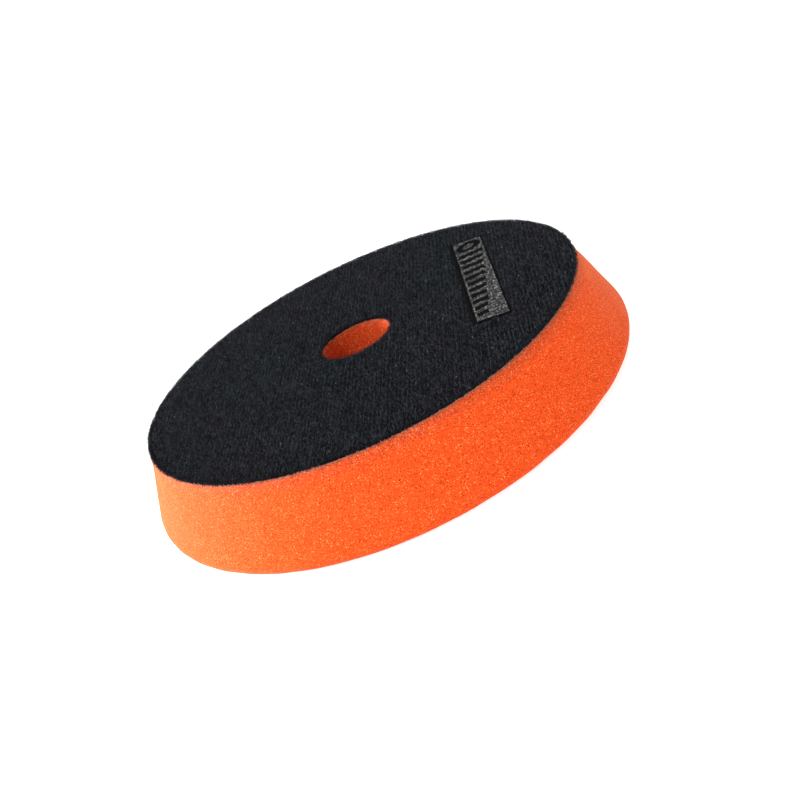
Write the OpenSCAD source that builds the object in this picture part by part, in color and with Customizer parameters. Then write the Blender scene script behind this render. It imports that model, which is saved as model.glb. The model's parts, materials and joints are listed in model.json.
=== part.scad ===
// Foam polishing pad with a loop-faced backing, for a hook-faced backing plate.
//
// The pad is a bonded laminate: a flared foam disc, a film of adhesive, a knitted
// base cloth and a pile of loops, with one hole through them all and a two-layer
// label pressed into the pile. It stands on its working face.
// The origin is the centre of the working face, and +Z points out of the loop face.

/* [Pad] */
// Height of the whole pad, from the working face to the tips of the loops
pad_height = 25; // [15:0.5:40]
// Diameter of the loop face, where the pad is narrowest
loop_diameter = 127; // [120:0.5:135]
// Greatest diameter of the foam, just above the working face
face_diameter = 141.6; // [140:0.1:170]
// Radius of the rounded edge of the working face
edge_radius = 4; // [1:0.5:8]
// Diameter of the centre hole through all layers
hole_diameter = 21; // [10:0.5:40]

/* [Backing] */
// Thickness of the adhesive film that bonds the base cloth to the foam
adhesive_thickness = 0.2; // [0.1:0.05:0.5]
// Thickness of the knitted base cloth
cloth_thickness = 0.35; // [0.2:0.05:1]
// Height of the loops above the base cloth
pile_height = 0.65; // [0.6:0.05:2]

/* [Label] */
// Length of the label along its long edges
label_length = 61.5; // [40:0.5:62]
// Width of the label across its long edges
label_width = 9.9; // [6:0.1:10]
// Distance of the label's centre from the axis of the pad, along +X
label_offset = 37.6; // [34:0.1:40]
// Angle between the label's long edges and the Y axis
label_turn = 8; // [0:1:12]
// Angle by which the label's two ends lean out of square
label_lean = 12; // [0:1:20]
// Depth to which the pile is pressed down under the label
press_depth = 0.4; // [0.2:0.05:0.5]
// Width of the dark film left showing around the ink
label_border = 0.7; // [0.4:0.1:1.5]
// Distance by which the ink is printed off the film's centre line, away from the hole
ink_shift = 0.3; // [0:0.1:0.3]
// Number of bars in the cut-grade scale
bar_count = 11; // [5:1:12]

/* [Hidden] */
$fn = 96;

// Radii of the three round outlines
loop_r = loop_diameter / 2;
face_r = face_diameter / 2;
hole_r = hole_diameter / 2;

// Heights of the layer faces above the working face
foam_top = pad_height - pile_height - cloth_thickness - adhesive_thickness;
cloth_bottom = foam_top + adhesive_thickness;
pile_bottom = cloth_bottom + cloth_thickness;

// Layers of the label, which stay below the tips of the loops around them
film_thickness = 0.1;
ink_thickness = 0.08;
film_bottom = pad_height - press_depth;
ink_bottom = film_bottom + film_thickness;

// Rounded edge of the working face. The flank is the line from the rim of the
// loop face that is tangent to the circle of this edge.
edge_x = face_r - edge_radius;
edge_z = edge_radius;
flank_dx = edge_x - loop_r;
flank_dz = foam_top - edge_z;
flank_angle = atan2(flank_dx, flank_dz) + asin(edge_radius / norm([flank_dx, flank_dz]));
tangent_x = edge_x + edge_radius * cos(flank_angle);
tangent_z = edge_z + edge_radius * sin(flank_angle);

// Marks that the ink leaves open: a pad seen from above, then a scale of bars
mark_margin = 0.5;
mark_span = label_width - 2 * (label_border + mark_margin);
ring_outer_r = mark_span / 2;
ring_inner_r = 0.45 * ring_outer_r;
ring_y = label_length / 2 - 5.6;
bar_width = 2.5;
bar_shortest = 0.45 * mark_span;
bar_first_y = ring_y - 6.6;
bar_last_y = 5.3 - label_length / 2;
bar_pitch = (bar_first_y - bar_last_y) / (bar_count - 1);

// Foam, from the working face up to the adhesive
module foam_disc() {
    color([0.93, 0.33, 0.1])
    rotate_extrude($fn = 180) {
        polygon([
            [hole_r, 0],
            [edge_x, 0],
            [tangent_x, tangent_z],
            [loop_r, foam_top],
            [hole_r, foam_top]
        ]);
        translate([edge_x, edge_z])
        circle(r = edge_radius);
    }
}

// One flat layer of the backing, with the centre hole through it
module backing_layer(bottom, thickness) {
    translate([0, 0, bottom])
    difference() {
        cylinder(r = loop_r, h = thickness, $fn = 180);
        translate([0, 0, -1])
        cylinder(r = hole_r, h = thickness + 2);
    }
}

// Outline of the label or of its ink: a rectangle whose two ends lean,
// drawn about the label's own centre with its long edges along Y
module label_outline(length, width) {
    rise = width / 2 * tan(label_lean);
    polygon([
        [-width / 2, -length / 2 + rise],
        [width / 2, -length / 2 - rise],
        [width / 2, length / 2 - rise],
        [-width / 2, length / 2 + rise]
    ]);
}

// One ring, and bars that grow longer towards it from a common base line
module label_marks() {
    translate([0, ring_y])
    difference() {
        circle(r = ring_outer_r);
        circle(r = ring_inner_r);
    }
    for (i = [0 : bar_count - 1]) {
        share = 1 - i / (bar_count - 1);
        bar_length = bar_shortest + (mark_span - bar_shortest) * share;
        translate([(bar_length - mark_span) / 2, bar_first_y - i * bar_pitch])
        square([bar_length, bar_width], center = true);
    }
}

// Puts flat artwork of the label in its place on the pad
module on_label(bottom, thickness) {
    translate([label_offset, 0, bottom])
    rotate([0, 0, -label_turn])
    linear_extrude(height = thickness)
    children();
}

// Cured adhesive, over the whole top of the foam
module adhesive_film() {
    color([0.86, 0.84, 0.78])
    backing_layer(foam_top, adhesive_thickness);
}

// Knitted ground of the loop fabric
module base_cloth() {
    color([0.09, 0.09, 0.1])
    backing_layer(cloth_bottom, cloth_thickness);
}

// Loops as one solid, pressed down where the label lies
module loop_pile() {
    color([0.13, 0.14, 0.16])
    difference() {
        backing_layer(pile_bottom, pile_height);
        on_label(film_bottom, press_depth + 1)
        label_outline(label_length, label_width);
    }
}

// Dark carrier film of the label
module label_film() {
    color([0.05, 0.05, 0.055])
    on_label(film_bottom, film_thickness)
    label_outline(label_length, label_width);
}

// Grey ink on the film, open over the marks
module label_ink() {
    color([0.38, 0.38, 0.38])
    on_label(ink_bottom, ink_thickness)
    translate([ink_shift, 0])
    difference() {
        label_outline(label_length - 2 * label_border, label_width - 2 * label_border);
        label_marks();
    }
}

foam_disc();
adhesive_film();
base_cloth();
loop_pile();
label_film();
label_ink();
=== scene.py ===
"""Looks of a foam polishing pad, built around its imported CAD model."""

import json
from math import asin, atan2, cos, hypot, pi, radians, sin, tan

import bpy
import numpy as np
from mathutils import Matrix, Vector


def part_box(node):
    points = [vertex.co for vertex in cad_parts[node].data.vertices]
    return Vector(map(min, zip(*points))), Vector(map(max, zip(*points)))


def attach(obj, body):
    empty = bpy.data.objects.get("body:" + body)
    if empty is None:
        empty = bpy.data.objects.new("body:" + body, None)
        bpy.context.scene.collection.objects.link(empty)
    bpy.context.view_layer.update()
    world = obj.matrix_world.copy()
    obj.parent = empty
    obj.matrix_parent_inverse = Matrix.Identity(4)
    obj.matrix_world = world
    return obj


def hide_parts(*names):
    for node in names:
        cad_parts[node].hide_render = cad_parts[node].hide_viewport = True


MM = 0.001

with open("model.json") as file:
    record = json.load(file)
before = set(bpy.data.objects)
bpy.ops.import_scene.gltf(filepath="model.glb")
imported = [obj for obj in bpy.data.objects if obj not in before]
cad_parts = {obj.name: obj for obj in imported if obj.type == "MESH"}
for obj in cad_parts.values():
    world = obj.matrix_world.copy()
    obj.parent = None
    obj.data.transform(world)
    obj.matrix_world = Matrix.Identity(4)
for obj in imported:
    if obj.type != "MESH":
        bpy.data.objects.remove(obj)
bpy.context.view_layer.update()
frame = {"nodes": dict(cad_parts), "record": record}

# ---------------------------------------------------------------- sizes from the frame

FOAM_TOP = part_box("foam_disc")[1].z
FACE_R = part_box("foam_disc")[1].x
CLOTH_BOTTOM, CLOTH_TOP = (corner.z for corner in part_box("base_cloth"))
PILE_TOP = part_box("loop_pile")[1].z
LOOP_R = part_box("loop_pile")[1].x
MOUNTS = {mount["name"]: mount for mount in frame["record"]["mounts"]}
HOLE_R = MOUNTS["centre_hole"]["dims"]["r_mm"] * MM
FACE_CENTRE = Vector((0, 0, PILE_TOP))

# Rounded edge of the working face, and the flank that is tangent to it
EDGE_R = 4 * MM
EDGE_X = FACE_R - EDGE_R
FLANK_DX, FLANK_DZ = EDGE_X - LOOP_R, FOAM_TOP - EDGE_R
FLANK_ANGLE = atan2(FLANK_DX, FLANK_DZ) + asin(EDGE_R / hypot(FLANK_DX, FLANK_DZ))

# The label's outline: a rectangle turned from the Y axis, whose ends lean
LABEL_CENTRE = sum(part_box("label_film"), Vector()) / 2
LABEL_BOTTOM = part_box("label_film")[0].z
LABEL_LENGTH = 61.5 * MM
LABEL_WIDTH = 9.9 * MM
LABEL_TURN = radians(8)
LABEL_LEAN = radians(12)
LABEL_BORDER = 0.7 * MM
INK_SHIFT = 0.3 * MM


# ---------------------------------------------------------------- mesh helpers

# Name of the texture map, half its width about the axis, and the sides of a thin tube
BAKE_MAP = "OFBake"
MAP_HALF = LOOP_R + 2 * MM
TUBE_SIDES = 3


def new_piece(name, points, faces, material, uv):
    """A smooth mesh object from an array of points and arrays of polygons, that rides the
    pad's one body. uv holds each point's texture place."""
    mesh = bpy.data.meshes.new(name)
    faces = [f for f in faces if len(f)]
    corners = np.concatenate([f.ravel() for f in faces]).astype(np.int32)
    sides = np.concatenate([np.full(len(f), f.shape[1]) for f in faces])
    starts = np.concatenate([[0], np.cumsum(sides)[:-1]]).astype(np.int32)
    mesh.vertices.add(len(points))
    mesh.vertices.foreach_set("co", np.asarray(points, np.float32).ravel())
    mesh.loops.add(len(corners))
    mesh.loops.foreach_set("vertex_index", corners)
    mesh.polygons.add(len(sides))
    mesh.polygons.foreach_set("loop_start", starts)
    mesh.update(calc_edges=True)
    mesh.shade_smooth()
    layer = mesh.uv_layers.new(name=BAKE_MAP)
    layer.data.foreach_set("uv", np.asarray(uv, np.float32)[corners].ravel())
    mesh.materials.append(material)
    piece = bpy.data.objects.new(name, mesh)
    bpy.context.scene.collection.objects.link(piece)
    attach(piece, "root")
    return piece


def add_attribute(piece, name, values):
    """One number for each point of a piece, for its material to read."""
    layer = piece.data.attributes.new(name, "FLOAT", "POINT")
    layer.data.foreach_set("value", np.asarray(values, np.float32))


def ring_points(rings):
    """Points of rings (radius, height, count), one after another."""
    points = []
    for radius, height, count in rings:
        angle = 2 * pi * np.arange(count) / count
        points.append(np.stack([
            radius * np.cos(angle), radius * np.sin(angle), np.full(count, height)
        ], axis=1))
    return np.concatenate(points)


def ring_faces(counts):
    """Quads between rings of equal count, and triangles where one has half as many, with
    the last ring joined to the first."""
    starts = np.concatenate([[0], np.cumsum(counts)])
    quads, triangles = [], []
    for i in range(len(counts)):
        j = (i + 1) % len(counts)
        k = np.arange(min(counts[i], counts[j]))
        if counts[i] == counts[j]:
            after = (k + 1) % len(k)
            quads.append(np.stack([
                starts[i] + k, starts[i] + after, starts[j] + after, starts[j] + k
            ], axis=1))
            continue
        many, few = (i, j) if counts[i] > counts[j] else (j, i)
        a, b, c = (starts[many] + (2 * k + step) % counts[many] for step in (0, 1, 2))
        d, e = starts[few] + k, starts[few] + (k + 1) % len(k)
        fan = np.concatenate([
            np.stack([a, b, d], axis=1), np.stack([b, e, d], axis=1), np.stack([b, c, e], axis=1)
        ])
        triangles.append(fan if many == i else fan[:, ::-1])
    return [np.concatenate(group) for group in (quads, triangles) if group]


def steps(start, end, spacing):
    """Evenly spaced values from start up to end, without end."""
    count = max(1, round(abs(end - start) / spacing))
    return np.linspace(start, end, count, endpoint=False)


def flat_map(points):
    """Texture places for the loop face: its plan from above."""
    return 0.5 + points[:, :2] / (2 * MAP_HALF)


def tube_mesh(paths, radii):
    """Points and quads of open tubes along paths of shape (tubes, rings, 3)."""
    ahead = np.gradient(paths, axis=1)
    ahead /= np.linalg.norm(ahead, axis=2, keepdims=True) + 1e-12
    chord = paths[:, -1] - paths[:, 0]
    flank = np.cross(chord, (0.0, 0.0, 1.0)) + 1e-9
    flank = np.repeat(flank[:, None], paths.shape[1], axis=1)
    flank -= (flank * ahead).sum(2, keepdims=True) * ahead
    flank /= np.linalg.norm(flank, axis=2, keepdims=True) + 1e-12
    crown = np.cross(flank, ahead)
    turn = 2 * pi * (np.arange(TUBE_SIDES) + 0.25) / TUBE_SIDES
    points = paths[:, :, None] + radii[:, :, None, None] * (
        np.cos(turn)[:, None] * flank[:, :, None] + np.sin(turn)[:, None] * crown[:, :, None]
    )
    tubes, rings = paths.shape[:2]
    index = np.arange(tubes * rings * TUBE_SIDES).reshape(tubes, rings, TUBE_SIDES)
    beside = np.roll(index, -1, axis=2)
    quads = np.stack([
        index[:, :-1], beside[:, :-1], beside[:, 1:], index[:, 1:]
    ], axis=-1).reshape(-1, 4)
    return points.reshape(-1, 3), quads


def smooth_field(points, wavelength, waves, random):
    """A smooth random field over space, as a sum of plane waves; its spread is 0.7."""
    field = np.zeros(len(points))
    for _ in range(waves):
        direction = random.normal(size=3)
        direction *= 2 * pi / (wavelength * np.linalg.norm(direction))
        field += np.sin(points @ direction + random.uniform(0, 2 * pi))
    return field / waves ** 0.5


class GrainMap:
    """Smoothed random grain over a square, read at any point of it; its spread is 1."""

    def __init__(self, half, pitch, across, along, random):
        """half is half the square's side, pitch its grid, across and along the blurs."""
        count = int(2 * half / pitch) + 1
        white = np.fft.rfft2(random.normal(size=(count, count)))
        fx = np.fft.fftfreq(count, pitch)[:, None]
        fy = np.fft.rfftfreq(count, pitch)[None, :]
        white *= np.exp(-2 * (pi * fx * across) ** 2 - 2 * (pi * fy * along) ** 2)
        self.grain = np.fft.irfft2(white, s=(count, count))
        self.grain /= self.grain.std()
        self.half, self.pitch = half, pitch

    def at(self, x, y):
        """The grain at places (x, y), blended from the four grid points round each."""
        size = len(self.grain)
        u = np.clip((np.asarray(x) + self.half) / self.pitch, 0, size - 1.001)
        v = np.clip((np.asarray(y) + self.half) / self.pitch, 0, size - 1.001)
        i, j = u.astype(int), v.astype(int)
        u, v = u - i, v - j
        g = self.grain
        return (
            (g[i, j] * (1 - u) + g[i + 1, j] * u) * (1 - v)
            + (g[i, j + 1] * (1 - u) + g[i + 1, j + 1] * u) * v
        )


# ---------------------------------------------------------------- materials

GLUE_AND_SHADE = "glue_and_shade"
TONE = "tone"


def new_material(name):
    """A material with its node tree and its shader."""
    material = bpy.data.materials.new(name)
    material.use_nodes = True
    tree = material.node_tree
    return material, tree, tree.nodes["Principled BSDF"]


def add_node(tree, kind, **inputs):
    """A node with its plain inputs set; a socket given as a value is linked. Underscores
    in the names of inputs stand for spaces."""
    node = tree.nodes.new("ShaderNode" + kind)
    for key, value in inputs.items():
        socket = node.inputs[key.replace("_", " ")]
        if isinstance(value, bpy.types.NodeSocket):
            tree.links.new(value, socket)
        else:
            socket.default_value = value
    return node


def place_of(tree):
    """Position on the object, in metres."""
    return tree.nodes.new("ShaderNodeTexCoord").outputs["Object"]


def ramp(tree, factor, stops):
    """The colour at a factor, from stops (position, colour)."""
    node = tree.nodes.new("ShaderNodeValToRGB")
    tree.links.new(factor, node.inputs["Fac"])
    elements = node.color_ramp.elements
    while len(elements) < len(stops):
        elements.new(1)
    for element, (position, colour) in zip(elements, stops):
        element.position = position
        element.color = (*colour, 1)
    return node.outputs["Color"]


def multiply(tree, factor, a, b):
    """Colour a multiplied by colour b, as far as the factor says."""
    node = tree.nodes.new("ShaderNodeMix")
    node.data_type = "RGBA"
    node.blend_type = "MULTIPLY"
    # A mix of colours has its factor in socket 0 and its colours in sockets 6 and 7
    for socket, value in ((node.inputs[0], factor), (node.inputs[6], a), (node.inputs[7], b)):
        if isinstance(value, bpy.types.NodeSocket):
            tree.links.new(value, socket)
        elif isinstance(value, tuple):
            socket.default_value = (*value, 1)
        else:
            socket.default_value = value
    return node.outputs[2]


def attribute(tree, name):
    """The number that add_attribute has stored on the piece."""
    node = tree.nodes.new("ShaderNodeAttribute")
    node.attribute_name = name
    return node.outputs["Fac"]


def add_bump(tree, shader, height, strength, distance):
    """Fine relief that only the shading shows, as high as distance."""
    bump = add_node(tree, "Bump", Height=height, Strength=strength, Distance=distance)
    tree.links.new(bump.outputs["Normal"], shader.inputs["Normal"])


def set_finish(shader, roughness, specular):
    """How matt the surface is, and how much it reflects."""
    shader.inputs["Roughness"].default_value = roughness
    shader.inputs["Specular IOR Level"].default_value = specular


def set_sheen(shader, weight, roughness, tint):
    """The glow of fine fibres where the surface turns away."""
    shader.inputs["Sheen Weight"].default_value = weight
    shader.inputs["Sheen Roughness"].default_value = roughness
    shader.inputs["Sheen Tint"].default_value = (*tint, 1)


# Scales of noise are in features per metre
CELLS_SCALE = 5200.0
PORES_SCALE = 4200.0
# Tones of the cells, drawn at random: the darkest are painted shade in open pores and the palest
# are painted glints off cell walls
FOAM_TONES = [
    (0.0, (0.31, 0.0175, 0.0025)),
    (0.2, (0.59, 0.0465, 0.0066)),
    (0.5, (0.68, 0.0668, 0.0103)),
    (0.92, (0.715, 0.09, 0.0158)),
    (1.0, (0.88, 0.26, 0.08)),
]
# Tint of the glue and painted shade below the cloth, and of the painted shade in the bore
GLUE_AND_SHADE_TINT = (0.66, 0.95, 1.8)
FOAM_SHEEN = (1, 0.8, 0.42)
FINE_BUMP = 0.05 * MM


def foam_material():
    """Fine open-cell foam: each cell has its own tone, the palest painted glints and the darkest
    painted shade in pores. It is greyer below the cloth with glue and painted shade, and down
    the bore with painted shade.
    """
    material, tree, shader = new_material("foam_cells")
    place = place_of(tree)
    cells = add_node(tree, "TexVoronoi", Vector=place, Scale=CELLS_SCALE)
    chance = add_node(tree, "SeparateColor", Color=cells.outputs["Color"]).outputs["Red"]
    cell_tone = ramp(tree, chance, FOAM_TONES)
    tone = multiply(tree, attribute(tree, GLUE_AND_SHADE), cell_tone, GLUE_AND_SHADE_TINT)
    tree.links.new(tone, shader.inputs["Base Color"])
    pores = add_node(tree, "TexNoise", Vector=place, Scale=PORES_SCALE, Detail=2.0)
    add_bump(tree, shader, pores.outputs["Fac"], strength=0.75, distance=0.15 * MM)
    set_finish(shader, roughness=0.75, specular=0.03)
    set_sheen(shader, weight=0.15, roughness=0.3, tint=FOAM_SHEEN)
    return material


COOL_TINT = (0.88, 1.0, 1.01)
WARM_TINT = (0.97, 0.965, 1.0)
YARN_SHEEN = (0.8, 0.9, 1)
DRIFT_SCALE = 38.0
FIBRE_SCALE = 7000.0


def yarn_material(name, dark, light, glint):
    """Dyed yarn: each loop has its own tone, and a few loops are pale with lint and painted
    glints.
    """
    material, tree, shader = new_material(name)
    colour = ramp(tree, attribute(tree, TONE), [(0.0, dark), (0.9, light), (1.0, glint)])
    place = place_of(tree)
    drift = add_node(tree, "TexNoise", Vector=place, Scale=DRIFT_SCALE, Detail=1.0)
    tint = ramp(tree, drift.outputs["Fac"], [(0.4, COOL_TINT), (0.6, WARM_TINT)])
    tree.links.new(multiply(tree, 1.0, colour, tint), shader.inputs["Base Color"])
    grain = add_node(tree, "TexNoise", Vector=place, Scale=FIBRE_SCALE, Detail=1.0)
    add_bump(tree, shader, grain.outputs["Fac"], strength=0.4, distance=FINE_BUMP)
    set_finish(shader, roughness=0.7, specular=0.02)
    set_sheen(shader, weight=0.012, roughness=0.4, tint=YARN_SHEEN)
    return material


INK_SCALE = 5000.0


def ink_material(name, tones):
    """Rough printed ink whose tone follows the speckle of the print."""
    material, tree, shader = new_material(name)
    tree.links.new(ramp(tree, attribute(tree, TONE), tones), shader.inputs["Base Color"])
    grain = add_node(tree, "TexNoise", Vector=place_of(tree), Scale=INK_SCALE, Detail=1.0)
    add_bump(tree, shader, grain.outputs["Fac"], strength=0.4, distance=FINE_BUMP)
    set_finish(shader, roughness=0.7, specular=0.1)
    return material


def mottled_material(name, low, high, scale, roughness, specular):
    """A surface whose tone drifts between two colours, with a fine bump."""
    material, tree, shader = new_material(name)
    place = place_of(tree)
    drift = add_node(tree, "TexNoise", Vector=place, Scale=scale, Detail=3.0)
    tone = ramp(tree, drift.outputs["Fac"], [(0.35, low), (0.68, high)])
    tree.links.new(tone, shader.inputs["Base Color"])
    add_bump(tree, shader, drift.outputs["Fac"], strength=0.3, distance=FINE_BUMP)
    set_finish(shader, roughness, specular)
    return material


# ---------------------------------------------------------------- foam

# Points round the pad, and steps along its outline
RIM_COUNT = 1400
FLANK_STEP = 0.32 * MM
FACE_STEP = 0.65 * MM
BORE_STEP = 0.35 * MM
# Inside this radius the rings of the two flat faces have half as many points
HALVING_R = 38 * MM

# Relief of the cells, of the torn pits among them, and of the cut by the blade
CELL_RELIEF = 0.014 * MM
CELL_LIMIT = 2.5
PIT_DEPTH = 0.12 * MM
PIT_SHARE = 0.006
CUT_WAVE = 0.05 * MM
CUT_WAVELENGTH = 9 * MM
WAVES = 12

# How far the glue and painted shade below the cloth reach down, how their tone drifts, and
# how much painted shade darkens the bore
GLUE_AND_SHADE_DEPTH = 3.6 * MM
GLUE_AND_SHADE_MEAN = 0.9
GLUE_AND_SHADE_DRIFT = 0.15
GLUE_AND_SHADE_WAVELENGTH = 3 * MM
BORE_SHADE = 0.5
BORE_SKIN = 0.5 * MM

# A point this close to a face counts as lying on it
ON_FACE = 0.01 * MM


def foam_profile():
    """Rings (radius, height, count) once round the foam's outline, starting in its bore."""
    rings = []
    for z in steps(FOAM_TOP, 0, BORE_STEP):
        rings.append((HOLE_R, z, RIM_COUNT // 2))
    for r in steps(HOLE_R, EDGE_X, FACE_STEP):
        rings.append((r, 0, RIM_COUNT if r > HALVING_R else RIM_COUNT // 2))
    for angle in steps(-pi / 2, FLANK_ANGLE, FLANK_STEP / EDGE_R):
        rings.append((EDGE_X + EDGE_R * cos(angle), EDGE_R + EDGE_R * sin(angle), RIM_COUNT))
    low = (EDGE_X + EDGE_R * cos(FLANK_ANGLE), EDGE_R + EDGE_R * sin(FLANK_ANGLE))
    length = hypot(low[0] - LOOP_R, low[1] - FOAM_TOP)
    for t in steps(0, 1, FLANK_STEP / length):
        radius = low[0] + t * (LOOP_R - low[0])
        rings.append((radius, low[1] + t * (FOAM_TOP - low[1]), RIM_COUNT))
    rings.append((LOOP_R, FOAM_TOP, RIM_COUNT))
    rings.append((HALVING_R, FOAM_TOP, RIM_COUNT // 2))
    return rings


def outward(rings):
    """Unit normals (radial, vertical) of the outline at each ring, away from the foam."""
    line = np.array([ring[:2] for ring in rings])
    ahead = np.roll(line, -1, axis=0) - np.roll(line, 1, axis=0)
    normal = np.stack([ahead[:, 1], -ahead[:, 0]], axis=1)
    return normal / np.linalg.norm(normal, axis=1)[:, None]


def foam_map(rings, counts, angle):
    """Texture places for the foam: its outline rolled out from the bore. The last ring,
    which is hidden under the cloth, gets no more than 1 mm of it."""
    travel = np.cumsum([0] + [hypot(a[0] - b[0], a[1] - b[1]) for a, b in zip(rings, rings[1:])])
    travel[-1] = travel[-2] + MM
    reach = np.repeat(3 * MM + travel, counts)
    spread = 0.5 * reach / (reach.max() + MM)
    return 0.5 + spread[:, None] * np.stack([np.cos(angle), np.sin(angle)], axis=1)


def make_foam(material):
    """The whole foam disc, with its cells, pits and cut as relief."""
    random = np.random.default_rng(11)
    rings = foam_profile()
    counts = [count for _, _, count in rings]
    points = ring_points(rings)
    normals = np.repeat(outward(rings), counts, axis=0)
    angle = np.arctan2(points[:, 1], points[:, 0])
    depth = CELL_RELIEF * random.normal(size=len(points)).clip(-CELL_LIMIT, CELL_LIMIT)
    depth -= PIT_DEPTH * (random.random(len(points)) < PIT_SHARE)
    depth += CUT_WAVE * smooth_field(points, CUT_WAVELENGTH, WAVES, random)
    depth *= points[:, 2] < FOAM_TOP - ON_FACE
    points[:, 0] += depth * normals[:, 0] * np.cos(angle)
    points[:, 1] += depth * normals[:, 0] * np.sin(angle)
    points[:, 2] = np.clip(points[:, 2] + depth * normals[:, 1], 0, FOAM_TOP)
    uv = foam_map(rings, counts, angle)
    piece = new_piece("foam_body", points, ring_faces(counts), material, uv)
    # Greyer below the cloth with glue and painted shade, and down the bore with painted shade
    glued_and_shaded = ((points[:, 2] - FOAM_TOP) / GLUE_AND_SHADE_DEPTH + 1).clip(0, 1)
    glued_and_shaded *= GLUE_AND_SHADE_MEAN + GLUE_AND_SHADE_DRIFT * smooth_field(points, GLUE_AND_SHADE_WAVELENGTH, WAVES, random)
    bore = BORE_SHADE * (np.hypot(points[:, 0], points[:, 1]) < HOLE_R + BORE_SKIN)
    add_attribute(piece, GLUE_AND_SHADE, np.maximum(glued_and_shaded, bore).clip(0, 1))
    return piece


# Torn cell walls along each edge: its radius, the side that they stand out to, their
# count, and how far below the edge the lowest of them starts
FUZZ_EDGES = [
    (LOOP_R, 1, 15000, 2.4 * MM),
    (HOLE_R, -1, 420, 0.7 * MM),
]
FUZZ_R = 0.05 * MM
FUZZ_SIZES = (0.5, 1.2)
FUZZ_RINGS = 4
FUZZ_ROOT = 0.05 * MM
FUZZ_REACH = (0.08 * MM, 0.32 * MM)
FUZZ_SWEEP = 0.25 * MM
FUZZ_LIFT = 0.15 * MM
# Those that start within the band rise by up to this much more, to no higher than the
# limit
RISE_BAND = 0.5 * MM
FUZZ_RISE = 0.6 * MM
FUZZ_LIMIT = FOAM_TOP + 0.7 * MM


def make_foam_fuzz(material):
    """Pale torn cell walls that stand off the foam's upper edges, outside and in the bore."""
    random = np.random.default_rng(17)
    t = np.linspace(0, 1, FUZZ_RINGS)[None, :]
    paths, radii = [], []
    for rim_r, out, count, deepest in FUZZ_EDGES:
        angle = random.uniform(0, 2 * pi, count)
        depth = random.uniform(0, 1, count) ** 1.6 * deepest
        rise = random.uniform(0, 1, count) ** 1.3 * FUZZ_RISE * (depth < RISE_BAND)
        reach = random.uniform(*FUZZ_REACH, count)
        sweep = random.normal(size=count) * FUZZ_SWEEP
        radius = rim_r + out * (reach[:, None] * np.sin(0.8 * pi * t) - FUZZ_ROOT)
        turn = angle[:, None] + sweep[:, None] * t / rim_r
        lift = rise[:, None] + random.normal(size=(count, 1)) * FUZZ_LIFT
        height = (FOAM_TOP - depth[:, None] + lift * t).clip(0, FUZZ_LIMIT)
        paths.append(np.stack([radius * np.cos(turn), radius * np.sin(turn), height], axis=2))
        radii.append(FUZZ_R * random.uniform(*FUZZ_SIZES, count)[:, None] * (1.1 - 0.6 * t))
    points, quads = tube_mesh(np.concatenate(paths), np.concatenate(radii))
    return new_piece("foam_rim_fuzz", points, [quads], material, flat_map(points))


# ---------------------------------------------------------------- label outline

def to_label(x, y):
    """Places on the pad as (across, along) the label, from its centre."""
    dx, dy = x - LABEL_CENTRE.x, y - LABEL_CENTRE.y
    return (
        dx * cos(LABEL_TURN) - dy * sin(LABEL_TURN),
        dx * sin(LABEL_TURN) + dy * cos(LABEL_TURN),
    )


def inside_label(across, along, border=0.0):
    """Distance inside the label's outline, drawn in by border; negative outside."""
    sides = LABEL_WIDTH / 2 - border - np.abs(across)
    ends = LABEL_LENGTH / 2 - border - np.abs(along + across * tan(LABEL_LEAN))
    return np.minimum(sides, ends * cos(LABEL_LEAN))


# ---------------------------------------------------------------- loop fabric

# The knit: wales a little off the Y axis, each with rows of loops in staggered courses
WALE_TURN = radians(12.5)
WALE_PITCH = 1.12 * MM
LOOP_ROWS = 3
COURSE_PITCH = 0.73 * MM
LOOP_SECTORS = 6

# How far loops stray from their places and their headings, which also drift slowly
ROW_STRAY = 0.05 * MM
COURSE_STRAY = 0.16 * MM
HEADING_STRAY = 0.25
HEADING_DRIFT = 0.1
DRIFT_WAVELENGTH = 14 * MM
DRIFT_WAVES = 10

# Room left free at the cut edges and at the label, on its side towards the hole and on
# the other, and the row of loops round each cut edge
EDGE_GAP = 0.1 * MM
LABEL_GAPS = (0.5 * MM, 0.2 * MM)
RIM_ROW = 0.1 * MM
RIM_PITCH = 0.33 * MM
RIM_HEADING_STRAY = 0.2

# Clumps and streaks of the brushed pile: their grid, their size and their shares
FABRIC_HALF = 1.1 * MAP_HALF
PILE_GRID = 0.12 * MM
TUFT_WIDTH = 0.1 * MM
TUFT_LENGTH = 0.24 * MM
STREAK_LENGTH = 1.3 * MM
CLUMP_SHARE = 0.85
STREAK_SHARE = 0.25

# One loop: a low arch of yarn
YARN_R = 0.075 * MM
YARN_SIZES = (0.8, 1.2)
LOOP_RINGS = 5
LOOP_LENGTHS = (0.6 * MM, 1.1 * MM)
LOOP_FOOT = CLOTH_TOP - 0.05 * MM
LOOP_HEIGHT = 0.44 * MM
CLUMP_RISE = 0.09 * MM
HEIGHT_STRAY = 0.07 * MM
RIDGE_RISE = 0.06 * MM
LOOP_BOW = 0.08 * MM
LOOP_LEAN = 0.12

# The cut edges: where loops are trimmed, and how far they stand out again unevenly
OUTER_TRIM = LOOP_R - 0.03 * MM
BORE_TRIM = HOLE_R - 0.02 * MM
TRIM_BAND = 0.6 * MM
RIM_WAVER = 0.22 * MM
WAVER_WAVELENGTH = 3 * MM

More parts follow.
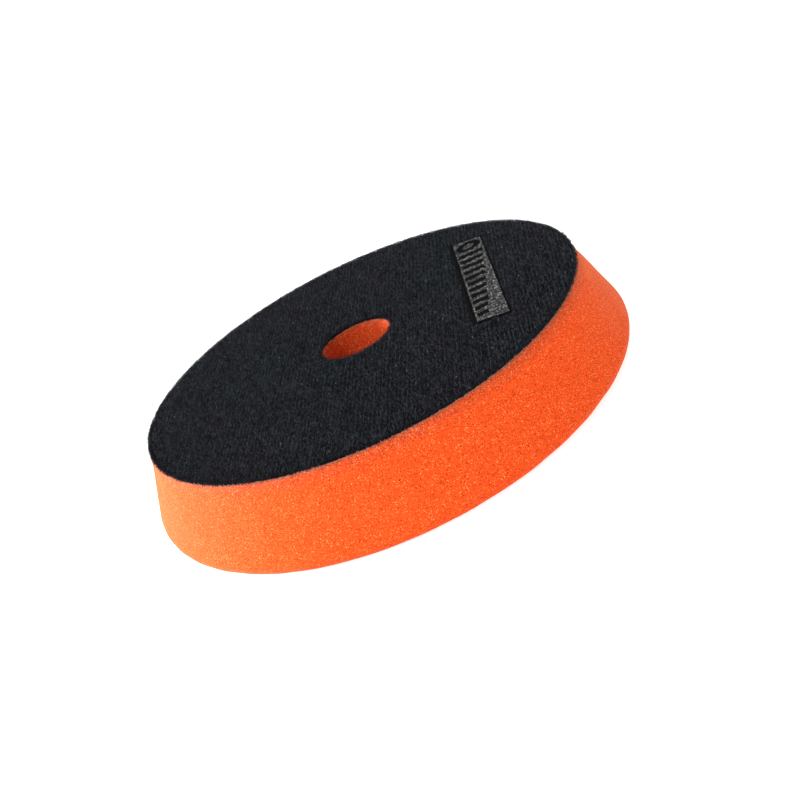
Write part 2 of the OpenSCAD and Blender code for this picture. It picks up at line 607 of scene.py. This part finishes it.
# Tones: clumps and ridges stand higher and are painted paler than the gaps as painted light,
# and the bands along the cut edges get painted shade where they face -Y and painted sheen
# where the outer edge faces +Y
LOOP_TONES = (0.25, 0.9)
TONE_MEAN = 0.72
CLUMP_TONE = 0.58
RIDGE_TONE = 0.34
EDGE_BAND = 1.25 * MM
SHADE_CONTRAST = 0.9
EDGE_SHADE = 0.86
SHEEN_BAND = 4 * MM
SHEEN_GLOW = 0.55
PALEST = 0.9
# Share of loops that are pale with lint and painted glints
LINT_AND_GLINT_SHARE = 0.0015


def to_wales(x, y):
    """Places on the pad as (across, along) the wales of the knit."""
    return (
        x * cos(WALE_TURN) - y * sin(WALE_TURN),
        x * sin(WALE_TURN) + y * cos(WALE_TURN),
    )


def from_wales(across, along):
    """Places on the pad, from places across and along the wales."""
    return (
        across * cos(WALE_TURN) + along * sin(WALE_TURN),
        along * cos(WALE_TURN) - across * sin(WALE_TURN),
    )


def from_rim(radius):
    """Distance from the nearer cut edge of the fabric."""
    return np.minimum(LOOP_R - radius, radius - HOLE_R)


def is_outer(radius):
    """Whether the outer edge of the fabric is nearer than its hole."""
    return radius > (LOOP_R + HOLE_R) / 2


def shade_share(angle, out):
    """How far a cut edge gets painted shade, 1, or painted sheen, 0: the painted shade falls
    where the edge faces -Y. out is 1 at the outer edge and -1 at the hole."""
    return (0.5 - SHADE_CONTRAST * out * np.sin(angle)).clip(0, 1)


def loop_places(random):
    """Middles and headings of the loops: staggered rows along the wales, all over but on
    the label, and one row round each cut edge."""
    across, along = np.meshgrid(
        np.arange(-LOOP_R, LOOP_R, WALE_PITCH / LOOP_ROWS),
        np.arange(-LOOP_R, LOOP_R, COURSE_PITCH),
    )
    along[:, 1::2] += COURSE_PITCH / 2
    across = across.ravel() + random.normal(size=across.size) * ROW_STRAY
    along = along.ravel() + random.normal(size=along.size) * COURSE_STRAY
    x, y = from_wales(across, along)
    label_across, label_along = to_label(x, y)
    gap = np.where(label_across < 0, *LABEL_GAPS)
    kept = from_rim(np.hypot(x, y)) > EDGE_GAP
    kept &= inside_label(label_across, label_along) < -gap
    x, y = x[kept], y[kept]
    heading = pi / 2 - WALE_TURN + random.normal(size=len(x)) * HEADING_STRAY
    place = np.stack([x, y, 0 * x], axis=1)
    heading += HEADING_DRIFT * smooth_field(place, DRIFT_WAVELENGTH, DRIFT_WAVES, random)
    for radius in (LOOP_R - RIM_ROW, HOLE_R + RIM_ROW):
        angle = np.arange(0, 2 * pi, RIM_PITCH / radius)
        x = np.append(x, radius * np.cos(angle))
        y = np.append(y, radius * np.sin(angle))
        stray = random.normal(size=len(angle)) * RIM_HEADING_STRAY
        heading = np.append(heading, angle + pi / 2 + stray)
    return x, y, heading


def trimmed(path_x, path_y, outer, random):
    """Paths of loops trimmed at the cut edges, out of which they stand unevenly."""
    radius = np.hypot(path_x, path_y)
    place = np.stack([path_x, path_y, 0 * path_x], axis=2).reshape(-1, 3)
    waver = smooth_field(place, WAVER_WAVELENGTH, WAVES, random).reshape(radius.shape)
    waver = RIM_WAVER * waver.clip(0, 1.6)
    near_rim = waver * (radius > LOOP_R - TRIM_BAND)
    near_hole = waver * (radius < HOLE_R + TRIM_BAND)
    trim = np.where(
        outer[:, None],
        np.minimum(radius, OUTER_TRIM) + near_rim,
        np.maximum(radius, BORE_TRIM) - near_hole,
    ) / radius
    return path_x * trim, path_y * trim


def loop_paths(x, y, heading, rise, random):
    """Paths and radii of arches of yarn over their middles (x, y), about as high as rise."""
    count = len(x)
    length = random.uniform(*LOOP_LENGTHS, count)
    height = rise + random.uniform(-HEIGHT_STRAY, HEIGHT_STRAY, count)
    edge = (from_rim(np.hypot(x, y)) / EDGE_BAND).clip(0, 1)
    height *= 0.95 + 0.05 * edge
    bow = random.normal(size=count) * LOOP_BOW
    lean = random.normal(size=count) * LOOP_LEAN
    t = np.linspace(0, 1, LOOP_RINGS)[None, :]
    along = length[:, None] * (t - 0.5 + lean[:, None] * np.sin(pi * t))
    aside = bow[:, None] * np.sin(pi * t)
    path_x = x[:, None] + along * np.cos(heading)[:, None] - aside * np.sin(heading)[:, None]
    path_y = y[:, None] + along * np.sin(heading)[:, None] + aside * np.cos(heading)[:, None]
    path_x, path_y = trimmed(path_x, path_y, is_outer(np.hypot(x, y)), random)
    path_z = LOOP_FOOT + height[:, None] * np.sin(pi * t) ** 0.7
    paths = np.stack([path_x, path_y, path_z], axis=2)
    radii = YARN_R * random.uniform(*YARN_SIZES, count)[:, None]
    return paths, radii * (0.75 + 0.25 * np.sin(pi * t))


def loop_tones(x, y, clump, ridge, random):
    """The tone of each loop, with painted light on clumps, ridges and cut edges, where 1 is pale
    lint and painted glint.
    """
    radius = np.hypot(x, y)
    outer = is_outer(radius)
    # Painted shade on the cut edges where they face -Y, and painted sheen on the outer edge
    # where it faces +Y
    painted_shade = shade_share(np.arctan2(y, x), np.where(outer, 1, -1))
    edge = (from_rim(radius) / EDGE_BAND).clip(0, 1)
    painted_sheen = (1 - from_rim(radius) / SHEEN_BAND).clip(0, 1) * outer * (1 - painted_shade)
    tone = random.uniform(*LOOP_TONES, len(x))
    # Clumps and ridges, which stand higher, are painted paler as painted light
    tone *= (TONE_MEAN + CLUMP_TONE * clump + RIDGE_TONE * ridge).clip(0.05, 1.3)
    # Painted shade and painted sheen along the cut edges
    tone *= 1 - EDGE_SHADE * painted_shade * (1 - edge ** 1.3) + SHEEN_GLOW * painted_sheen
    tone = tone.clip(0, PALEST)
    # Pale loops: lint and painted glints
    tone[random.random(len(x)) < LINT_AND_GLINT_SHARE] = 1
    return tone


def make_loops(material):
    """Yarn loops that arch along the wales, in clumps with dark gaps between them, the clumps
    painted paler as painted light.
    """
    random = np.random.default_rng(23)
    clumps = GrainMap(FABRIC_HALF, PILE_GRID, TUFT_WIDTH, TUFT_LENGTH, random)
    streaks = GrainMap(FABRIC_HALF, PILE_GRID, TUFT_WIDTH, STREAK_LENGTH, random)
    x, y, heading = loop_places(random)
    wale_place = to_wales(x, y)
    clump = CLUMP_SHARE * clumps.at(*wale_place) + STREAK_SHARE * streaks.at(*wale_place)
    ridge = np.cos(2 * pi * wale_place[0] / WALE_PITCH)
    rise = LOOP_HEIGHT + CLUMP_RISE * clump.clip(-1.6, 1.6) + RIDGE_RISE * ridge
    paths, radii = loop_paths(x, y, heading, rise, random)
    tone = loop_tones(x, y, clump, ridge, random)
    sector = ((np.arctan2(y, x) / (2 * pi)) % 1 * LOOP_SECTORS).astype(int)
    pieces = []
    for number in range(LOOP_SECTORS):
        chosen = sector == number
        points, quads = tube_mesh(paths[chosen], radii[chosen])
        piece = new_piece(
            f"loop_pile_{number + 1}", points, [quads], material, flat_map(points)
        )
        add_attribute(piece, TONE, np.repeat(tone[chosen], LOOP_RINGS * TUBE_SIDES))
        pieces.append(piece)
    return pieces


# Cut yarn ends along each edge: its radius, the side they stand out to, and their count
FIBRE_EDGES = [
    (LOOP_R, 1, 10000),
    (HOLE_R, -1, 1100),
]
FIBRE_R = 0.042 * MM
FIBRE_SIZES = (0.6, 1.2)
FIBRE_RINGS = 4
FIBRE_ROOT = 0.12 * MM
FIBRE_TOP = PILE_TOP - 0.02 * MM
FIBRE_SWEEP = 0.16 * MM
FIBRE_LIFT = 0.28 * MM
FIBRE_DROOP = 0.1 * MM
FIBRE_SHORTEST = 0.08 * MM
FIBRE_REACH = 0.85 * MM
FIBRE_TONES = (0, 0.6)
FIBRE_SHEEN = 0.4
FIBRE_PALEST = 0.97


def make_rim_fibres(material):
    """Cut yarn ends that stand out of the fabric's outer edge and of its hole."""
    random = np.random.default_rng(29)
    t = np.linspace(0, 1, FIBRE_RINGS)[None, :]
    paths, radii, painted_sheen = [], [], []
    for rim_r, out, count in FIBRE_EDGES:
        angle = random.uniform(0, 2 * pi, count)
        height = random.uniform(CLOTH_BOTTOM, FIBRE_TOP, count)
        reach = FIBRE_SHORTEST + FIBRE_REACH * random.random(count) ** 1.6
        sweep = random.normal(size=count) * FIBRE_SWEEP
        lift = random.normal(size=count) * FIBRE_LIFT - FIBRE_DROOP
        radius = rim_r - out * FIBRE_ROOT + out * reach[:, None] * t
        turn = angle[:, None] + sweep[:, None] * t ** 2 / rim_r
        height = height[:, None] + lift[:, None] * t ** 2
        paths.append(np.stack([radius * np.cos(turn), radius * np.sin(turn), height], axis=2))
        radii.append(FIBRE_R * random.uniform(*FIBRE_SIZES, count)[:, None] * (1.1 - 0.5 * t))
        # Painted sheen on the outer fibres on the side that faces +Y
        painted_sheen.append(FIBRE_SHEEN * (1 - shade_share(angle, out)) * (out > 0))
    painted_sheen = np.concatenate(painted_sheen)
    points, quads = tube_mesh(np.concatenate(paths), np.concatenate(radii))
    piece = new_piece("cut_rim_fibres", points, [quads], material, flat_map(points))
    tone = (random.uniform(*FIBRE_TONES, len(painted_sheen)) + painted_sheen).clip(0, FIBRE_PALEST)
    add_attribute(piece, TONE, np.repeat(tone, FIBRE_RINGS * TUBE_SIDES))
    return piece


# The ground cloth's rings, halved inside a radius, and the relief and tone of its
# stitches, which lie flat under the label and a little beyond it
CLOTH_COUNT = 960
CLOTH_STEP = 0.45 * MM
CLOTH_HALVING_R = 32 * MM
KNIT_GRID = 0.2 * MM
STITCH_WIDTH = 0.14 * MM
STITCH_LENGTH = 0.35 * MM
STITCH_RELIEF = 0.07 * MM
CLOTH_TONE = 0.25
STITCH_TONE = 0.2
FLAT_MARGIN = 0.1 * MM


def make_cloth(material):
    """The knitted ground: a thin ring whose upper face follows the stitches."""
    random = np.random.default_rng(31)
    knit = GrainMap(FABRIC_HALF, KNIT_GRID, STITCH_WIDTH, STITCH_LENGTH, random)
    rings = [
        (LOOP_R, CLOTH_BOTTOM, CLOTH_COUNT),
        (LOOP_R, (CLOTH_BOTTOM + CLOTH_TOP) / 2, CLOTH_COUNT),
    ]
    for r in steps(LOOP_R, HOLE_R, CLOTH_STEP):
        rings.append((r, CLOTH_TOP, CLOTH_COUNT if r > CLOTH_HALVING_R else CLOTH_COUNT // 2))
    rings.append((HOLE_R, CLOTH_TOP, CLOTH_COUNT // 2))
    rings.append((HOLE_R, CLOTH_BOTTOM, CLOTH_COUNT // 2))
    counts = [count for _, _, count in rings]
    points = ring_points(rings)
    upper = points[:, 2] > CLOTH_TOP - ON_FACE
    grain = knit.at(*to_wales(points[:, 0], points[:, 1]))
    relief = STITCH_RELIEF * grain.clip(-1.5, 2.2)
    under_label = inside_label(*to_label(points[:, 0], points[:, 1])) > -FLAT_MARGIN
    points[:, 2] += np.where(upper & ~under_label, relief, 0)
    faces = [f[:, ::-1] for f in ring_faces(counts)]
    piece = new_piece("base_cloth_knit", points, faces, material, flat_map(points))
    add_attribute(piece, TONE, CLOTH_TONE + STITCH_TONE * grain.clip(-1, 2))
    return piece


# ---------------------------------------------------------------- label

# The label's grid, the relief of the loops pressed under it, and the speckle of its ink
LABEL_PITCH = 0.14 * MM
LABEL_GRID = 0.1 * MM
PRESSED_WIDTH = 0.1 * MM
PRESSED_LENGTH = 0.22 * MM
PRESSED_RELIEF = 0.045 * MM
SPECKLE_LENGTH = 0.15 * MM
SKIRT_DEPTH = 0.1 * MM

# The ink thins out over a margin at its outline and marks, covers ridges better than
# grooves, and is left out below the least cover
INK_MARGIN = 0.25 * MM
INK_LIFT = 0.025 * MM
RIDGE_COVER = 0.3
SPECKLE_COVER = 0.25
LEAST_COVER = -0.8

# Tone of the ink, which is a little darker towards the label's far end
INK_TONE = 0.37
SPECKLE_TONE = 0.32
PRESSED_TONE = 0.15
FAR_END_TONE = 0.03

# Marks that the ink leaves open: a pad seen from above, then a scale of bars
MARK_SPAN = LABEL_WIDTH - 2 * (LABEL_BORDER + 0.5 * MM)
RING_Y = LABEL_LENGTH / 2 - 5.6 * MM
RING_HOLE_SHARE = 0.45
BAR_COUNT = 11
BAR_WIDTH = 2.5 * MM
BAR_SHORTEST = 0.45 * MARK_SPAN
BAR_FIRST_Y = RING_Y - 6.6 * MM
BAR_LAST_Y = 5.3 * MM - LABEL_LENGTH / 2


def inside_marks(across, along):
    """Distance inside the label's marks, a ring and a scale of bars; negative outside."""
    radius = np.hypot(across, along - RING_Y)
    inner, outer = RING_HOLE_SHARE * MARK_SPAN / 2, MARK_SPAN / 2
    best = np.minimum(outer - radius, radius - inner)
    for y in np.linspace(BAR_FIRST_Y, BAR_LAST_Y, BAR_COUNT):
        share = (y - BAR_LAST_Y) / (BAR_FIRST_Y - BAR_LAST_Y)
        length = BAR_SHORTEST + (MARK_SPAN - BAR_SHORTEST) * share
        middle = (length - MARK_SPAN) / 2
        bar = np.minimum(
            length / 2 - np.abs(across - middle), BAR_WIDTH / 2 - np.abs(along - y)
        )
        best = np.maximum(best, bar)
    return best


def label_grid(border):
    """A grid of places over the label's outline: across and along, and its quads."""
    half_width, half_length = LABEL_WIDTH / 2 - border, LABEL_LENGTH / 2 - border
    columns = round(2 * half_width / LABEL_PITCH)
    rows = round(2 * half_length / LABEL_PITCH)
    across, along = np.meshgrid(
        np.linspace(-half_width, half_width, columns + 1),
        np.linspace(-half_length, half_length, rows + 1),
    )
    along = along - across * tan(LABEL_LEAN)
    index = np.arange(across.size).reshape(across.shape)
    quads = np.stack([
        index[:-1, :-1], index[:-1, 1:], index[1:, 1:], index[1:, :-1]
    ], axis=-1)
    return across, along, index, quads


def from_label(across, along, z):
    """Points on the pad, from places across and along the label and their heights."""
    return np.stack([
        LABEL_CENTRE.x + across * cos(LABEL_TURN) + along * sin(LABEL_TURN),
        LABEL_CENTRE.y - across * sin(LABEL_TURN) + along * cos(LABEL_TURN),
        z,
    ], axis=-1).reshape(-1, 3)


def make_film(pressed, film_z, material):
    """The dark film: a sheet over the pressed loops, with walls down into the pile."""
    across, along, index, quads = label_grid(0)
    place = from_label(across, along, 0 * across)
    relief = PRESSED_RELIEF * pressed.at(place[:, 0], place[:, 1]).reshape(across.shape)
    points = from_label(across, along, film_z + relief)
    rim = np.concatenate([index[0, :-1], index[:-1, -1], index[-1, :0:-1], index[:0:-1, 0]])
    skirt = points[rim].copy()
    skirt[:, 2] = LABEL_BOTTOM - SKIRT_DEPTH
    low = len(points) + np.arange(len(rim))
    walls = np.stack([rim, low, np.roll(low, -1), np.roll(rim, -1)], axis=1)
    points = np.concatenate([points, skirt])
    faces = [quads.reshape(-1, 4), walls, low[None, ::-1]]
    return new_piece(
        "label_film_pressed", points, faces, material, flat_map(points)
    )


def make_ink(pressed, speckle, film_z, material):
    """The grey ink on the film, which breaks up over the grooves between the loops."""
    across, along, _, quads = label_grid(LABEL_BORDER)
    place = from_label(across + INK_SHIFT, along, 0 * across)
    height = pressed.at(place[:, 0], place[:, 1]).reshape(across.shape)
    grain = speckle.at(place[:, 0], place[:, 1]).reshape(across.shape)
    printed = np.minimum(
        inside_label(across, along, LABEL_BORDER), -inside_marks(across, along)
    )
    cover = (printed / INK_MARGIN).clip(-2, 1)
    cover += RIDGE_COVER * height.clip(-2, 2) + SPECKLE_COVER * grain
    relief = PRESSED_RELIEF * height + INK_LIFT * cover.clip(-1.5, 1)
    points = from_label(across + INK_SHIFT, along, film_z + relief)
    seen = cover > LEAST_COVER
    shown = seen[:-1, :-1] | seen[:-1, 1:] | seen[1:, 1:] | seen[1:, :-1]
    piece = new_piece(
        "label_ink_grey", points, [quads[shown]], material, flat_map(points)
    )
    tone = INK_TONE + SPECKLE_TONE * grain + PRESSED_TONE * height
    # A little darker towards the label's far end
    tone -= FAR_END_TONE * along / (LABEL_LENGTH / 2)
    add_attribute(piece, TONE, tone.ravel().clip(0, 1))
    return piece


def make_label(film_look, ink_look):
    """The two layers of the label, which share the relief of the loops under them."""
    random = np.random.default_rng(47)
    pressed = GrainMap(MAP_HALF, LABEL_GRID, PRESSED_WIDTH, PRESSED_LENGTH, random)
    speckle = GrainMap(MAP_HALF, LABEL_GRID, PRESSED_WIDTH, SPECKLE_LENGTH, random)
    film_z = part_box("label_film")[1].z
    return (
        make_film(pressed, film_z, film_look),
        make_ink(pressed, speckle, film_z, ink_look),
    )


# ---------------------------------------------------------------- stage

# Where the camera stands as seen from the middle of the loop face, with the azimuth from
# -Y towards +X, and how it is held
VIEW_AZIMUTH = radians(0.6)
VIEW_ELEVATION = radians(21.23)
VIEW_DISTANCE = 5.125 * LOOP_R
CAMERA_PITCH = radians(-24.91)
CAMERA_ROLL = radians(-26.7)
FRAME_SHIFT = (0.0009, -0.0007)
LENS_MM = 53.3
SENSOR_MM = 36
CLIP_RANGE = (0.01, 100)


def make_camera():
    """The camera, held at a slant, so that the pad stands slanting in the frame."""
    back = Vector((
        sin(VIEW_AZIMUTH) * cos(VIEW_ELEVATION),
        -cos(VIEW_AZIMUTH) * cos(VIEW_ELEVATION),
        sin(VIEW_ELEVATION),
    ))
    data = bpy.data.cameras.new("camera")
    data.lens, data.sensor_width = LENS_MM, SENSOR_MM
    data.shift_x, data.shift_y = FRAME_SHIFT
    data.clip_start, data.clip_end = CLIP_RANGE
    camera = bpy.data.objects.new("camera", data)
    camera.matrix_world = (
        Matrix.Translation(FACE_CENTRE + VIEW_DISTANCE * back)
        @ Matrix.Rotation(pi / 2 + CAMERA_PITCH, 4, "X")
        @ Matrix.Rotation(CAMERA_ROLL, 4, "Z")
    )
    bpy.context.scene.collection.objects.link(camera)
    bpy.context.scene.camera = camera


FLOOR_HALF = 30
FLOOR_TONE = 0.6
FLOOR_GLOW = 0.8


def make_floor():
    """A pale floor that glows round the pad, so that the pad's shadow stays faint."""
    material, tree, shader = new_material("floor")
    radius = tree.nodes.new("ShaderNodeVectorMath")
    radius.operation = "LENGTH"
    tree.links.new(place_of(tree), radius.inputs[0])
    glow = add_node(
        tree, "MapRange", Value=radius.outputs["Value"],
        From_Min=LOOP_R / 2, From_Max=EDGE_X, To_Max=FLOOR_GLOW,
    )
    tree.links.new(glow.outputs["Result"], shader.inputs["Emission Strength"])
    shader.inputs["Base Color"].default_value = (FLOOR_TONE, FLOOR_TONE, FLOOR_TONE, 1)
    shader.inputs["Emission Color"].default_value = (1, 1, 1, 1)
    shader.inputs["Roughness"].default_value = 0.9
    mesh = bpy.data.meshes.new("floor")
    half = FLOOR_HALF
    corners = [(-half, -half, 0), (half, -half, 0), (half, half, 0), (-half, half, 0)]
    mesh.from_pydata(corners, [], [(0, 1, 2, 3)])
    mesh.materials.append(material)
    floor = bpy.data.objects.new("floor", mesh)
    bpy.context.scene.collection.objects.link(floor)


# Name, azimuth from -Y towards +X and elevation in degrees, and strength
LIGHTS = [
    ("key_back", -120, 5, 8.6),
    ("key_left", -105, 5, 2.9),
    ("key_back_high", -120, 15, 1.5),
    ("key_left_high", -105, 15, 1.1),
    ("side_left", -90, 30, 0.7),
    ("bank_front", -45, 55, 3.2),
    ("fill_right", 60, 5, 0.5),
    ("rim_right", 135, 5, 0.3),
    ("bank_right", 135, 55, 0.8),
]
SOFTNESS = radians(30)

# Glow of the surround, full below the first height and dim above the second, where
# heights run from -1 straight down to 1 straight up
HORIZON_GLOW = 1.05
SKY_GLOW = 0.1
GLOW_HEIGHTS = (0.34, 0.5)


def add_light(name, azimuth, elevation, strength):
    """A wide, soft light from far off."""
    data = bpy.data.lights.new(name, "SUN")
    data.angle, data.energy = SOFTNESS, strength
    a, e = radians(azimuth), radians(elevation)
    towards = Vector((sin(a) * cos(e), -cos(a) * cos(e), sin(e)))
    light = bpy.data.objects.new(name, data)
    light.rotation_euler = towards.to_track_quat("Z", "Y").to_euler()
    bpy.context.scene.collection.objects.link(light)


def make_world():
    """A white surround to a little above the horizon, and a dim ceiling."""
    world = bpy.data.worlds.new("studio")
    world.use_nodes = True
    tree = world.node_tree
    place = tree.nodes.new("ShaderNodeTexCoord").outputs["Generated"]
    height = add_node(tree, "SeparateXYZ", Vector=place).outputs["Z"]
    glow = ramp(tree, height, [
        (GLOW_HEIGHTS[0], (HORIZON_GLOW,) * 3), (GLOW_HEIGHTS[1], (SKY_GLOW,) * 3)
    ])
    tree.links.new(glow, tree.nodes["Background"].inputs["Color"])
    bpy.context.scene.world = world


# ---------------------------------------------------------------- camera, floor and light

make_camera()
make_floor()
make_world()
for light in LIGHTS:
    add_light(*light)
bpy.context.scene.view_settings.view_transform = "Standard"

# ---------------------------------------------------------------- the pad, layer by layer

foam = make_foam(foam_material())
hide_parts("foam_disc")

fuzz = make_foam_fuzz(mottled_material(
    "foam_fuzz", low=(0.48, 0.15, 0.085), high=(0.66, 0.4, 0.3),
    scale=2500, roughness=0.8, specular=0.1,
))
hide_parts("foam_disc")

cloth = make_cloth(yarn_material(
    "base_knit", dark=(0.0015, 0.0016, 0.002), light=(0.005, 0.0055, 0.0065),
    glint=(0.008, 0.008, 0.009),
))
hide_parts("base_cloth")
yarn = yarn_material(
    "loop_yarn", dark=(0.0013, 0.0015, 0.002), light=(0.0365, 0.0378, 0.0443),
    glint=(0.12, 0.125, 0.135),
)
loops = [*make_loops(yarn), make_rim_fibres(yarn)]
for piece in loops:
    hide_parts("loop_pile")

film, ink = make_label(
    mottled_material(
        "label_black", low=(0.001, 0.001, 0.001), high=(0.003, 0.003, 0.0033),
        scale=900, roughness=0.9, specular=0.02,
    ),
    ink_material("label_grey", [
        (0.0, (0.0025, 0.0025, 0.0025)),
        (0.45, (0.021, 0.021, 0.0206)),
        (1.0, (0.155, 0.155, 0.152)),
    ]),
)
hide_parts("label_film")
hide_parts("label_ink")

adhesive = frame["nodes"]["adhesive_film"]
adhesive.data.materials.clear()
adhesive.data.materials.append(mottled_material(
    "adhesive", low=(0.28, 0.035, 0.015), high=(0.6, 0.2, 0.13),
    scale=1600, roughness=0.6, specular=0.1,
))
